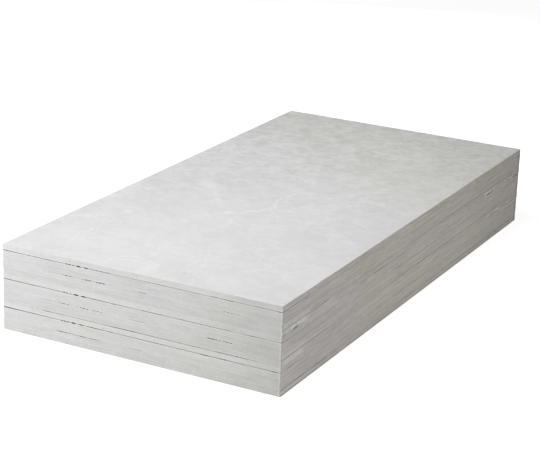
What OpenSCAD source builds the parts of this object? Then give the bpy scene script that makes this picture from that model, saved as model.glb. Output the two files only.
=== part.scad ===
// A squared-up stack of plain ceiling boards, lying flat.
//
// Millimetres. +Z is up, X runs across the boards and Y along them. The
// origin is on the floor, in the middle of the stack. board_01 is the lowest
// board, and each of the others lies face to face on the one below it.

/* [Board] */
// Width of one board, along X
board_w = 625; // [300:5:1250]
// Length of one board, along Y
board_l = 1250; // [600:10:3000]
// Thickness of one board
board_t = 12; // [6:0.5:25]
// Width of the worn arris along the edges of a board's two faces
arris = 0.6; // [0.2:0.1:1.5]
// Length taken off each upright corner of a board
corner_cut = 1.5; // [0.5:0.5:6]

/* [Stack] */
// Number of boards in the stack
board_count = 15; // [2:1:30]
// Furthest that a board lies out of line with the stack
slip = 0.3; // [0:0.1:3]

/* [Hidden] */
// Turn between the slips of one board and the next, so that no two agree
slip_turn = 137.5;
board_grey = [0.80, 0.80, 0.79];

// Name of a board, counted from the floor: board_01, board_02 and so on
function board_name(i) = str("board_", i < 10 ? "0" : "", i);

// Where a board lies against the middle of the stack, seen from above
function slip_of(i) = slip * [sin(slip_turn * i), cos(slip_turn * i)];

// Height of a board's underside above the floor
function underside_of(i) = (i - 1) * board_t;

// Rectangle about the origin with its four corners cut off at 45 degrees
module eased_rectangle(w, h, cut) {
    x = w / 2;
    y = h / 2;
    polygon([
        [cut - x, -y], [x - cut, -y], [x, cut - y], [x, y - cut],
        [x - cut, y], [cut - x, y], [-x, y - cut], [-x, cut - y],
    ]);
}

// One board about the origin. It is what its three outlines share: the plan
// with its cut corners, the cross-section and the long section, both with
// their arrises.
module eased_board() {
    intersection() {
        linear_extrude(board_t, center = true)
            eased_rectangle(board_w, board_l, corner_cut);
        rotate([90, 0, 0])
            linear_extrude(board_l, center = true)
                eased_rectangle(board_w, board_t, arris);
        rotate([90, 0, 90])
            linear_extrude(board_w, center = true)
                eased_rectangle(board_l, board_t, arris);
    }
}

// A board in its place in the stack
module board(i) {
    color(board_grey)
        translate([slip_of(i).x, slip_of(i).y, underside_of(i) + board_t / 2])
            eased_board();
}

for (i = [1 : board_count])
    board(i);
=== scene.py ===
"""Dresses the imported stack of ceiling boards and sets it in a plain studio.

Every board of the frame is replaced by a finer surface of its own: a section with worn arrises
is carried round the board's plan, and the top board also gets a gently uneven face. The fibre
cement's look comes from three finishes: the trowelled face, the sawn ends and the sawn sides.
Lengths and places are in metres, unless a line says otherwise.
"""
import logging
import math
from dataclasses import dataclass, field
from enum import Enum

import bpy
import numpy as np
from mathutils import Matrix, Vector


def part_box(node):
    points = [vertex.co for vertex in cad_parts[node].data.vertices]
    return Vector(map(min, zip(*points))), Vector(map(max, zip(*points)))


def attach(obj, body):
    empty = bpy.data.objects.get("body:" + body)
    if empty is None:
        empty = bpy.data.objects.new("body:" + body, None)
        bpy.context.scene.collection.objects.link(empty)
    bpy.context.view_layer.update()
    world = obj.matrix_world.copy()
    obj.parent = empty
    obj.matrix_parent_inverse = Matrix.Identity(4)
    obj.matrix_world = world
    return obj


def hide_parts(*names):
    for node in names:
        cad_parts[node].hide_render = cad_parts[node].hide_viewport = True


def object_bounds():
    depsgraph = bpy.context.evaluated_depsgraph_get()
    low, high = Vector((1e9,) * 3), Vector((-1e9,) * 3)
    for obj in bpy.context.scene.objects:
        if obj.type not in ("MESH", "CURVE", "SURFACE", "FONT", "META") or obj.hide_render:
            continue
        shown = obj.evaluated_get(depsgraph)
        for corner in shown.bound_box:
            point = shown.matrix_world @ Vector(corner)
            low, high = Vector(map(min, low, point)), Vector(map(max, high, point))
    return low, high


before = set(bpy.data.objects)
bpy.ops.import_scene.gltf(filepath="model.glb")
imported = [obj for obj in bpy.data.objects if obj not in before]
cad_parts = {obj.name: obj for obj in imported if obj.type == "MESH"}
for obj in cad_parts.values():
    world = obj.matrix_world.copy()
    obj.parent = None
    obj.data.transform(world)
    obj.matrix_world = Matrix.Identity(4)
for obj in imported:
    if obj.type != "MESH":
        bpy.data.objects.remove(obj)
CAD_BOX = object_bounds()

LOG = logging.getLogger("ceiling_boards")
MM = 0.001
BODY = "root"
BUNDLE = 5
Socket = bpy.types.NodeSocket
Value = Socket | float
Colour = tuple[float, float, float, float]
WHITE: Colour = (1.0, 1.0, 1.0, 1.0)
YELLOWED: Colour = (0.990, 1.0, 0.950, 1.0)


class Edge(Enum):
    """The four sawn edges of a board, by the way that each one faces in plan."""

    NEAR_END = (0.0, -1.0)
    RIGHT_SIDE = (1.0, 0.0)
    FAR_END = (0.0, 1.0)
    LEFT_SIDE = (-1.0, 0.0)


EDGE_ORDER = tuple(Edge)


def wander(place: np.ndarray, pitch: float, span: float, rng: np.random.Generator) -> np.ndarray:
    """Gives a smooth random curve, from -1 to 1, that closes on itself after a span.

    Random knots lie about a pitch apart, and a Catmull-Rom cubic joins each one to the next.

    Args:
        place: Distances along the curve.
        pitch: Distance between knots.
        span: Length after which the curve repeats.
        rng: Source of the knots.

    Returns:
        The curve's value at each place.
    """
    count = max(4, round(span / pitch))
    knots = rng.uniform(-1.0, 1.0, count)
    turn = np.mod(place / span, 1.0) * count
    first = np.floor(turn).astype(int)
    t = turn - first
    k0, k1, k2, k3 = (knots[(first + step) % count] for step in (-1, 0, 1, 2))
    bend = 2 * k0 - 5 * k1 + 4 * k2 - k3
    return k1 + 0.5 * t * (k2 - k0 + t * (bend + t * (3 * (k1 - k2) + k3 - k0)))


def window(place: np.ndarray, start: float, end: float, soft: float) -> np.ndarray:
    """Gives 1 between start and end and 0 outside, with smoothstep flanks of a soft width.

    Args:
        place: The places.
        start: Where the window starts.
        end: Where it ends.
        soft: Width of each of its flanks.

    Returns:
        The window's value at each place.
    """
    rise = np.clip((place - start) / soft + 0.5, 0.0, 1.0)
    fall = np.clip((end - place) / soft + 0.5, 0.0, 1.0)
    edge = np.minimum(rise, fall)
    return edge * edge * (3.0 - 2.0 * edge)


# Width over which a seam fades out at its ends, as a share of the edge, and the same between
# its dashes, in the curve that they come from. A dash has no upper bound in that curve.
SEAM_SOFT = 0.012
DASH_SOFT = 0.30
NO_BOUND = 9.0


@dataclass(frozen=True)
class Seam:
    """A stretch of the joint between two boards that stands open.

    Attributes:
        joints: The joints, counted from the floor, that open alike.
        edge: The edge of the stack on which they open.
        start: Where the stretch starts, as a share of the edge seen from outside, left to right.
        end: Where it ends, as the same share.
        opening: Height of the opening at its start, in millimetres.
        taper: Height of the opening at its end, as a share of the same at its start.
        broken: Share of the stretch that is closed again, in dashes.
        drift: Move of the stretch to the left from each joint to the next, as a share.
    """

    joints: tuple[int, ...]
    edge: Edge
    start: float
    end: float
    opening: float
    taper: float = 1.0
    broken: float = 0.0
    drift: float = 0.0

    def height(self, joint: int, share: np.ndarray, dashes: np.ndarray) -> np.ndarray:
        """Works out the opening along the seam's own edge.

        Args:
            joint: The joint, counted from the floor.
            share: Place of each station along the edge, or -1 where it is on another edge.
            dashes: Quick curve from -1 to 1 that a broken seam is cut up by.

        Returns:
            Height of the opening at each station.
        """
        place = share + self.drift * self.joints.index(joint)
        mask = window(place, self.start, self.end, SEAM_SOFT)
        if self.broken:
            mask = mask * window(dashes, 2.0 * self.broken - 1.0, NO_BOUND, DASH_SOFT)
        passed = np.clip((place - self.start) / (self.end - self.start), 0.0, 1.0)
        return self.opening * MM * mask * (1.0 + (self.taper - 1.0) * passed)


def seams_on(edge: Edge, *rows: tuple) -> tuple[Seam, ...]:
    """Makes the seams of one edge, from rows of a seam's joints and then its sizes in order."""
    return tuple(Seam(joints, edge, *sizes) for joints, *sizes in rows)


MAIN_JOINTS = (14, 9, 4)
DOTTED_JOINTS = (12, 7, 2)
LEFT_STEP = 0.009
END_SEAMS = seams_on(
    Edge.NEAR_END,
    (MAIN_JOINTS, -0.01, 0.225, 0.52, 0.90, 0.00, LEFT_STEP),
    (MAIN_JOINTS, -0.02, 0.14, 0.50, 0.20),
    ((4,), -0.01, 0.25, 0.30),
    (MAIN_JOINTS, 0.22, 0.40, 0.19, 1.00, 0.00, LEFT_STEP),
    (MAIN_JOINTS, 0.232, 0.268, 1.48, 1.00, 0.45, LEFT_STEP),
    (MAIN_JOINTS, 0.279, 0.293, 2.61, 1.00, 0.00, LEFT_STEP),
    (MAIN_JOINTS, 0.307, 0.321, 2.38, 1.00, 0.00, LEFT_STEP),
    (MAIN_JOINTS, 0.328, 0.40, 1.02, 0.70, 0.45, LEFT_STEP),
    (MAIN_JOINTS, 0.395, 1.03, 0.48, 0.85, 0.00, LEFT_STEP),
    (MAIN_JOINTS, 0.52, 0.60, 0.57, 1.00, 0.50, LEFT_STEP),
    (MAIN_JOINTS, 0.76, 0.84, 0.91, 1.00, 0.55, LEFT_STEP),
    (DOTTED_JOINTS, 0.230, 0.262, 0.91, 1.00, 0.45, LEFT_STEP),
    (DOTTED_JOINTS, 0.305, 0.330, 1.48, 1.00, 0.45, LEFT_STEP),
    (DOTTED_JOINTS, 0.347, 0.380, 0.91, 1.60, 0.45, LEFT_STEP),
    (DOTTED_JOINTS, 0.17, 0.42, 0.16, 1.00, 0.00, LEFT_STEP),
    ((2,), 0.20, 0.36, 0.25),
    (DOTTED_JOINTS, 0.48, 0.54, 0.41, 1.00, 0.40, LEFT_STEP),
    ((12,), 0.80, 0.86, 0.57, 1.80, 0.50),
    ((7,), 0.75, 0.845, 1.35, 1.00, 0.45),
    ((5,), 0.07, 0.20, 0.19, 3.00),
    ((5,), 0.15, 0.24, 0.34, 1.00, 0.50),
    ((5,), 0.20, 0.60, 0.71, 1.40),
    ((5,), 0.60, 0.93, 0.95, 0.50),
    ((5,), 0.45, 0.50, 0.46, 1.00, 0.50),
    ((5,), 0.78, 0.83, 0.68, 1.00, 0.45),
)
SIDE_SEAMS = seams_on(
    Edge.RIGHT_SIDE,
    (MAIN_JOINTS, -0.01, 0.11, 0.42, 0.30),
    (MAIN_JOINTS, 0.92, 1.01, 0.20, 3.00),
    ((13, 8), 0.41, 0.95, 0.30, 0.85),
    ((3,), 0.41, 0.95, 0.22, 0.75),
    ((13, 8), 0.42, 0.60, 0.16),
    ((13,), 0.42, 0.90, 0.24),
    ((11, 6, 1), -0.01, 0.155, 0.25, 0.90),
    ((11, 6, 1), 0.11, 0.15, 0.40, 1.00, 0.50),
    ((11, 6), 0.43, 1.01, 0.20, 1.10),
    ((1,), 0.43, 1.01, 0.24, 1.30),
    ((10,), -0.01, 0.08, 1.10, 0.50),
    ((10,), 0.18, 0.62, 0.60, 0.60),
    ((10,), 0.27, 0.48, 0.75, 0.80),
    ((10,), 0.48, 0.78, 0.36),
    ((10,), 0.77, 1.01, 0.45),
    ((10,), 0.829, 0.848, 2.15),
    ((10,), 0.845, 0.89, 1.20, 0.60, 0.35),
    ((10,), 0.91, 0.955, 1.39, 1.00, 0.45),
    ((10,), 0.970, 1.01, 2.60),
    ((5,), -0.01, 1.01, 0.30),
    ((5,), 0.84, 0.90, 1.10, 1.00, 0.45),
    ((5,), 0.935, 1.01, 1.80, 1.20, 0.45),
)
BACK_SEAMS = seams_on(
    Edge.FAR_END,
    ((12, 8, 3), -0.01, 1.01, 0.42, 0.70),
    ((12, 8), 0.55, 0.66, 1.30, 1.00, 0.45),
    ((10, 5), 0.12, 0.22, 1.40, 1.00, 0.45),
    ((14, 6), 0.30, 1.01, 0.30),
    ((2,), 0.66, 0.76, 1.40, 1.00, 0.50),
) + seams_on(
    Edge.LEFT_SIDE,
    ((13, 7, 2), -0.01, 0.62, 0.40, 0.60),
    ((11, 4), 0.35, 1.01, 0.30),
    ((9,), -0.01, 1.01, 0.36),
    ((9, 5), 0.70, 0.76, 1.40, 1.00, 0.45),
    ((12, 3), 0.06, 0.12, 1.40, 1.00, 0.40),
)
SEAMS = END_SEAMS + SIDE_SEAMS + BACK_SEAMS


@dataclass(frozen=True)
class Smear:
    """A pale patch on an edge of the stack, most of them rubbed cement and one a painted highlight,
    or a dark streak of dirt and painted shade.

    Attributes:
        edge: The edge that it lies on.
        start: Where it starts, as a share of the edge seen from outside, left to right.
        end: Where it ends, as the same share.
        foot: Height of its underside, in boards from the floor.
        head: Height of its top, in boards from the floor.
        strength: How much of it covers the edge, from 0 to 1.
        fade: Width over which it fades out along the edge, as a share of the edge.
        fade_up: Height over which it fades out, in boards.
        dirt_and_shade: Whether it is a dark streak of dirt and painted shade, and not pale cement.
    """

    edge: Edge
    start: float
    end: float
    foot: float
    head: float
    strength: float
    fade: float = 0.02
    fade_up: float = 0.25
    dirt_and_shade: bool = False


def smears_on(edge: Edge, *rows: tuple[float, ...], dirt_and_shade: bool = False) -> tuple[Smear, ...]:
    """Makes the smears of one edge, from rows of a smear's sizes in order."""
    return tuple(Smear(edge, *sizes, dirt_and_shade=dirt_and_shade) for sizes in rows)


ALL_UP = (-1.0, 16.0)
SMEARS = smears_on(
    Edge.RIGHT_SIDE,
    (0.005, 0.080, 10.05, 10.95, 0.90, 0.03, 0.40),
    (-0.01, 0.085, 11.00, 11.90, 0.45, 0.03, 0.60),
    (0.125, 0.180, 10.00, 11.20, 0.45, 0.03),
    (0.005, 0.070, 4.95, 5.95, 0.90, 0.03, 0.40),
    (-0.01, 0.080, 6.10, 7.10, 0.45, 0.03, 0.60),
    (-0.01, 0.115, 0.15, 0.90, 0.80, 0.06, 0.40),
    (-0.01, 0.080, 1.10, 2.10, 0.45, 0.03, 0.60),
    (0.818, 0.846, 10.12, 10.58, 0.95, 0.01),
    (0.856, 0.874, 10.12, 10.50, 0.95, 0.01),
    (0.920, 0.934, 10.10, 10.48, 0.85, 0.01),
    (0.945, 0.957, 10.10, 10.42, 0.75, 0.01),
    (0.834, 0.850, 5.10, 5.55, 0.85, 0.01),
    (0.876, 0.902, 5.10, 5.65, 0.85, 0.01),
    (0.938, 0.960, 5.10, 5.55, 0.75, 0.01),
) + smears_on(
    Edge.LEFT_SIDE,
    (0.60, 0.82, 8.85, 9.30, 0.70),
) + smears_on(
    Edge.FAR_END,
    (0.10, 0.36, 9.80, 10.30, 0.60),
    (0.9965, 1.10, *ALL_UP, 0.60, 0.003),
) + smears_on(
    Edge.NEAR_END,
    # A thin pale line down the near upright corner: a painted highlight.
    (0.9955, 1.10, *ALL_UP, 0.80, 0.003),
) + smears_on(
    Edge.RIGHT_SIDE,
    # Dark streaks: painted shade down the far upright corner, a dark spot by joint 10, a painted
    # contact shadow along the foot and painted shade under the top arris.
    (0.994, 1.10, *ALL_UP, 0.60, 0.003),
    (0.036, 0.048, 9.92, 10.28, 0.80, 0.006, 0.15),
    (-0.10, 1.10, -1.00, 0.18, 0.45, 0.02, 0.20),
    (-0.10, 1.10, 14.88, 16.00, 0.22, 0.02, 0.10),
    dirt_and_shade=True,
)


@dataclass(frozen=True)
class Perimeter:
    """Stations round a board's plan, anticlockwise from the corner at low X and low Y.

    Attributes:
        anchors: Each station on a square from -1 to 1, where the plan's straight runs lie.
        normals: Outward normal of each station, in plan.
        along: Distance of each station from the first one.
        share: Distance of each station along its own edge, from 0 to 1.
        edge_of: Index of each station's edge in EDGE_ORDER.
        round_length: Length of the whole way round.
    """

    anchors: np.ndarray
    normals: np.ndarray
    along: np.ndarray
    share: np.ndarray
    edge_of: np.ndarray
    round_length: float

    @classmethod
    def of_plan(
        cls,
        half: np.ndarray,
        radius: float,
        steps: tuple[float, float],
        arc_parts: int,
        broken: list[Seam],
    ) -> "Perimeter":
        """Sets out the stations of a rectangle with rounded corners.

        Each edge is a straight run, and a quarter circle, divided into equal angles, leads to
        the next edge.

        Args:
            half: Half of the plan's width and length.
            radius: Radius of the corners.
            steps: Long and short distance between stations.
            arc_parts: Number of parts in each corner.
            broken: The broken seams that the board borders on.

        Returns:
            The stations.
        """
        anchors, normals, share, edge_of = [], [], [], []
        for index, edge in enumerate(EDGE_ORDER):
            normal = np.array(edge.value)
            tangent = np.array((-normal[1], normal[0]))
            run = 2.0 * (float(np.abs(tangent) @ half) - radius)
            t = 2.0 * cls._shares(edge, run, steps, broken) - 1.0
            anchors.append(normal + t[:, None] * tangent)
            normals.append(np.broadcast_to(normal, (len(t), 2)))
            share.append((t + 1.0) / 2.0)
            turn = np.linspace(0.0, math.pi / 2.0, arc_parts + 1)[1:-1, None]
            anchors.append(np.broadcast_to(normal + tangent, (len(turn), 2)))
            normals.append(np.cos(turn) * normal + np.sin(turn) * tangent)
            share.append(np.ones(len(turn)))
            edge_of.append(np.full(len(t) + len(turn), index))
        spots = np.concatenate(anchors) * (half - radius) + np.concatenate(normals) * radius
        gaps = np.linalg.norm(np.roll(spots, -1, axis=0) - spots, axis=1)
        return cls(
            np.concatenate(anchors),
            np.concatenate(normals),
            np.concatenate(([0.0], np.cumsum(gaps)[:-1])),
            np.concatenate(share),
            np.concatenate(edge_of),
            float(gaps.sum()),
        )

    @staticmethod
    def _shares(
        edge: Edge,
        run: float,
        steps: tuple[float, float],
        broken: list[Seam],
        margins: tuple[float, float] = (0.01, 0.03),
    ) -> np.ndarray:
        """Divides a straight run in long steps, and in short ones where a broken seam needs them.

        The stations divide the integral of one over the step into equal parts.

        Args:
            edge: The run's edge.
            run: Its length.
            steps: Long and short distance between stations.
            broken: The broken seams that the board borders on.
            margins: How far short steps go on before a seam and after it, as shares of the run.

        Returns:
            The stations, as shares of the run.
        """
        fine = np.linspace(0.0, 1.0, round(run / MM))
        close = np.zeros_like(fine)
        for seam in broken:
            if seam.edge is edge:
                before, after = seam.start - margins[0], seam.end + margins[1]
                close = np.maximum(close, window(fine, before, after, margins[0]))
        density = 1.0 / steps[0] + close * (1.0 / steps[1] - 1.0 / steps[0])
        passed = np.concatenate(([0.0], np.cumsum((density[1:] + density[:-1]) / 2.0)))
        parts = round(passed[-1] * run / (len(fine) - 1))
        return np.interp(np.linspace(0.0, passed[-1], parts + 1), passed, fine)

    def on(self, edge: Edge) -> np.ndarray:
        """Tells which stations lie on an edge."""
        return self.edge_of == EDGE_ORDER.index(edge)


@dataclass(frozen=True)
class Arris:
    """One worn arris of a board, station by station.

    Attributes:
        opening: Height that it gives to the joint beside it.
        drop: Its own height.
        reach: How far it runs in from the edge.
        worn: How worn it is, from 0 to 1.
    """

    opening: np.ndarray
    drop: np.ndarray
    reach: np.ndarray
    worn: np.ndarray

    def rows(self, parts: int) -> tuple[np.ndarray, np.ndarray]:
        """Rounds the arris off as a quarter ellipse.

        Args:
            parts: Number of parts in it.

        Returns:
            Insets from the edge and depths under the face, as rows from the face to the edge.
        """
        turn = (math.pi / 2.0) * (1.0 - np.linspace(1.0, 0.0, parts + 1) ** 2)[:, None]
        return self.reach * (1.0 - np.sin(turn)), self.drop * (1.0 - np.cos(turn))


# Pitches of the random curves round a board: of an open joint's swelling, of the
# hairline of a closed one, of the push and the swelling of a broken seam's dashes, of an
# arris's roughness, of the edge's slow and quick waves, and of the ledges' fading.
SWELL_PITCH = 26.0 * MM
HAIRLINE_PITCH = 60.0 * MM
PUSH_PITCH = 10.0 * MM
DASH_SWELL_PITCH = 15.0 * MM
ARRIS_PITCH = 11.0 * MM
SLOW_PITCH = 170.0 * MM
QUICK_PITCH = 24.0 * MM
LEDGE_PITCH = 90.0 * MM
# Factors that set the draws of the joints and of the broken seams apart from a board's own.
JOINT_SEED = 7
DASH_SEED = 11


@dataclass
class BoardPiece:
    """One ceiling board, with its worn arrises and its sawn edges.

    Attributes:
        node: Name of the CAD node that the piece stands for.
        number: Place in the stack, counted from 1 at the floor.
        seams: The open stretches of all joints.
        relieved_face: Whether the upper face shows, and so is worked as a grid.
        steps: Long and short distance between stations round the plan.
        grid_step: Distance between the points of the relieved face.
        corner_radius: Radius of the worn upright corners.
        arc_parts: Number of parts in each upright corner.
        arris_parts: Number of parts in each arris.
        edge_rows: Number of rows between the arrises.
        arris_drop: Height of a sound arris.
        arris_reach: How far a sound arris runs in from the edge.
        arris_rough: How much a sound arris comes and goes, as a share of its size.
        reach_per_drop: How far an open arris runs in, for each metre of its height.
        inner_rings: Distances of the faces' inner rings from the edge.
        edge_wave: Depth of the edge's slow waves.
        ledge: Depth of the saw's ledges along the edge.
        chip_count: Number of small chips in each arris.
        chip_drop: Greatest height of a chip.
        chip_length: Greatest length of a chip.
        dash_pitch: Distance between the dashes of a broken seam.
        hairline: Height of a closed joint, on the whole.
        swell: How much an open joint's height comes and goes, as a share of it.
        dark_opening: Opening from which the painted shade of an open joint covers its arris in
            full.
        highlight_opening: Opening from which the edge beside a joint gets its full painted
            highlight.
        highlight_inner: Share of that painted highlight that reaches the edge's next row.
        pale_chip: Height of the chips that are fully pale.
        face_hollow: Depth of the hollows in the relieved face.
        hollow_fade: Distance over which the hollows fade in from the face's ring.
        ripples: Pitch of each of the hollows' ripples, and its share of the depth.
        tone_rise: Share of a board's tone that comes from its height in its bundle.
        lot_step: Distance by which each board's pattern is moved on from the last one's.
        seed: Start of the board's random draws.
        masks: The masks of the section, by name, as arrays of rows by stations.
    """

    node: str
    number: int
    seams: tuple[Seam, ...]
    relieved_face: bool
    steps: tuple[float, float] = (4.0 * MM, 1.4 * MM)
    grid_step: float = 4.6 * MM
    corner_radius: float = 1.6 * MM
    arc_parts: int = 4
    arris_parts: int = 5
    edge_rows: int = 6
    arris_drop: float = 0.09 * MM
    arris_reach: float = 0.12 * MM
    arris_rough: float = 0.35
    reach_per_drop: float = 2.2
    inner_rings: tuple[float, ...] = (12.0 * MM, 5.0 * MM)
    edge_wave: float = 0.16 * MM
    ledge: float = 0.10 * MM
    chip_count: int = 46
    chip_drop: float = 0.9 * MM
    chip_length: float = 13.0 * MM
    dash_pitch: float = 7.8 * MM
    hairline: float = 0.06 * MM
    swell: float = 0.28
    dark_opening: float = 0.20 * MM
    highlight_opening: float = 0.26 * MM
    highlight_inner: float = 0.5
    pale_chip: float = 0.5 * MM
    face_hollow: float = 0.16 * MM
    hollow_fade: float = 40.0 * MM
    ripples: tuple[tuple[float, float], ...] = (
        (180.0 * MM, 0.5),
        (70.0 * MM, 0.3),
        (28.0 * MM, 0.2),
    )
    tone_rise: float = 0.85
    lot_step: float = 3.7
    seed: int = 4100
    masks: dict[str, np.ndarray] = field(default_factory=dict)

    def __post_init__(self) -> None:
        """Reads the board's place and size from its CAD node."""
        low, high = (np.array(corner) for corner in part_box(self.node))
        self.centre = (low + high)[:2] / 2.0
        self.half = (high - low)[:2] / 2.0
        self.foot = float(low[2])
        self.thickness = float(high[2] - low[2])
        self.rng = np.random.default_rng(self.seed + self.number)
        own = {self.number - 1, self.number}
        broken = [seam for seam in self.seams if seam.broken and own & set(seam.joints)]
        self.rim = Perimeter.of_plan(
            self.half, self.corner_radius, self.steps, self.arc_parts, broken
        )

    def curve(
        self, pitch: float, rng: np.random.Generator | None = None, place: np.ndarray | None = None
    ) -> np.ndarray:
        """Draws a smooth random curve round the board, from -1 to 1.

        Args:
            pitch: Distance between its knots.
            rng: Source of the knots, or None for the board's own.
            place: Place of each station, or None for its distance round the board.

        Returns:
            The curve at each station.
        """
        place = self.rim.along if place is None else place
        return wander(place, pitch, self.rim.round_length, rng or self.rng)

    def opening(self, joint: int) -> np.ndarray:
        """Works out how far a joint stands open round the stack.

        The seams on each edge add up, and each board of the joint works them out alike.

        Args:
            joint: The joint, counted from the floor.

        Returns:
            Height of the opening at each station.
        """
        rng, rim = np.random.default_rng(self.seed * JOINT_SEED + joint), self.rim
        swell = 1.0 + self.swell * self.curve(SWELL_PITCH, rng)
        total = np.zeros_like(rim.along)
        for index, seam in enumerate(self.seams):
            if joint in seam.joints:
                share = np.where(rim.on(seam.edge), rim.share, -1.0)
                total += seam.height(joint, share, self.dashes(index, joint))
        return total * swell + self.hairline * (1.0 + self.curve(HAIRLINE_PITCH, rng))

    def dashes(self, index: int, joint: int) -> np.ndarray:
        """Draws the curve that cuts a broken seam up, alike on all of its joints.

        It is a sine along the edge, pushed to and fro and swelled by two random curves, and
        moves along with the seam from joint to joint.

        Args:
            index: Number of the seam.
            joint: The joint, counted from the floor.

        Returns:
            The curve at each station, from -1 to 1.
        """
        seam, rng = self.seams[index], np.random.default_rng(self.seed * DASH_SEED + index)
        edge_length = 2.0 * abs(float(np.array(seam.edge.value)[::-1] @ self.half))
        place = self.rim.along + seam.drift * edge_length * seam.joints.index(joint)
        push = self.curve(PUSH_PITCH, rng, place)
        swell = self.curve(DASH_SWELL_PITCH, rng, place)
        wave = np.sin(2.0 * math.pi * place / self.dash_pitch + 1.2 * push)
        return 0.6 * wave + 0.4 * swell

    def chips(self) -> np.ndarray:
        """Knocks small chips out of one arris.

        Each chip is half an ellipse along the arris, and where chips overlap the deepest counts.

        Returns:
            Height lost at each station.
        """
        spread = self.rng.uniform(0.0, self.rim.round_length, self.chip_count)
        length = self.chip_length * self.rng.uniform(0.15, 1.0, self.chip_count) ** 2
        drop = self.chip_drop * self.rng.uniform(0.1, 1.0, self.chip_count) ** 2
        away = np.abs(self.rim.along[:, None] - spread[None, :]) / length[None, :]
        lost = np.sqrt(np.clip(1.0 - away**2, 0.0, None)) * drop[None, :]
        return lost.max(axis=1)

    def arris(self, joint: int) -> Arris:
        """Shapes the arris beside a joint, which gives half of the joint's opening.

        Args:
            joint: The joint, counted from the floor.

        Returns:
            The arris.
        """
        opening = self.opening(joint) / 2.0
        rough = 1.0 + self.arris_rough * self.curve(ARRIS_PITCH)
        chipped = self.chips()
        drop = self.arris_drop * rough + opening + chipped
        reach = self.arris_reach * rough + self.reach_per_drop * (opening + 0.6 * chipped)
        return Arris(opening, drop, reach, np.clip(chipped / self.pale_chip, 0.0, 1.0))

    def section(self) -> tuple[np.ndarray, np.ndarray]:
        """Works out the section that is carried round the plan, and the masks on it.

        From the upper face inwards ring to the lower one: rings at set insets, a quarter
        ellipse over the upper arris, even rows down the edge, a quarter ellipse under the lower
        arris, and the rings again. The rows of the edge are set back by slow waves along it
        and by one ledge a row.

        Returns:
            Insets from the plan's edge and heights over the board's underside, as arrays of
            rows by stations.
        """
        head, foot = self.arris(self.number), self.arris(self.number - 1)
        head_inset, head_depth = head.rows(self.arris_parts)
        foot_inset, foot_depth = foot.rows(self.arris_parts)
        rings = np.repeat(np.array(self.inner_rings)[:, None], len(self.rim.along), axis=1)
        way = np.linspace(0.0, 1.0, self.edge_rows + 2)[1:-1, None]
        edge_height = (self.thickness - head.drop) * (1.0 - way) + foot.drop * way
        waves = 0.5 + 0.35 * self.curve(SLOW_PITCH) + 0.15 * self.curve(QUICK_PITCH)
        set_back = self.edge_wave * waves
        ledges = self.ledge * self.rng.uniform(0.0, 1.0, (self.edge_rows, 1))
        fade = 0.75 + 0.25 * np.stack([self.curve(LEDGE_PITCH) for _ in range(self.edge_rows)])
        inset = np.concatenate((rings, head_inset, ledges * fade, foot_inset[::-1], rings[::-1]))
        top, underside = np.full_like(rings, self.thickness), np.zeros_like(rings)
        under_head = self.thickness - head_depth
        height = np.concatenate((top, under_head, edge_height, foot_depth[::-1], underside))
        skirt = np.zeros_like(inset)
        skirt[len(rings) : len(inset) - len(rings)] = 1.0
        self._mask(inset.shape, head, foot)
        return inset + skirt * set_back, height

    def _mask(self, shape: tuple[int, int], head: Arris, foot: Arris) -> None:
        """Keeps the masks that the finishes read, as arrays of rows by stations.

        The rows next to an open joint also get a little pale painted highlight, and its arrises
        painted shade.

        Args:
            shape: Number of rows and stations.
            head: The upper arris.
            foot: The lower arris.
        """
        seam, worn = np.zeros(shape), np.zeros(shape)
        rings, parts = len(self.inner_rings), self.arris_parts
        depth = np.append(np.ones(parts), 0.0)[:, None]
        inwards = np.arange(rings, rings + parts + 2)
        for arris, rows in ((head, inwards), (foot, shape[0] - 1 - inwards)):
            # Painted shade over the arrises of an open joint, full once the joint opens by
            # dark_opening.
            seam[rows[:-1]] = np.clip(arris.opening / self.dark_opening, 0.0, 1.0) * depth
            # A pale painted highlight on the rows beside an open joint, full once it opens by
            # highlight_opening.
            rub_and_highlight = np.clip(arris.opening / self.highlight_opening, 0.0, 1.0)
            worn[rows[:-1]] = arris.worn
            worn[rows[-2]] = np.maximum(arris.worn, rub_and_highlight)
            worn[rows[-1]] = self.highlight_inner * rub_and_highlight
        self.masks = {"seam": seam, "worn": worn}

    def smears(self, height: np.ndarray) -> tuple[np.ndarray, np.ndarray]:
        """Lays the pale patches, and the dark streaks of dirt and painted shade, on the edge's
        rows.

        Args:
            height: Heights over the board's underside, as rows by stations.

        Returns:
            How pale each point is, and how dark from dirt and painted shade, from 0 to 1.
        """
        level = (height + self.foot) / self.thickness
        pale, dirt_and_shade = np.zeros_like(level), np.zeros_like(level)
        for smear in SMEARS:
            place = np.where(self.rim.on(smear.edge), self.rim.share, -1.0)
            across = window(place, smear.start, smear.end, smear.fade)
            up = window(level, smear.foot, smear.head, smear.fade_up)
            layer = dirt_and_shade if smear.dirt_and_shade else pale
            np.maximum(layer, smear.strength * across * up, out=layer)
        return pale, dirt_and_shade

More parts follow.
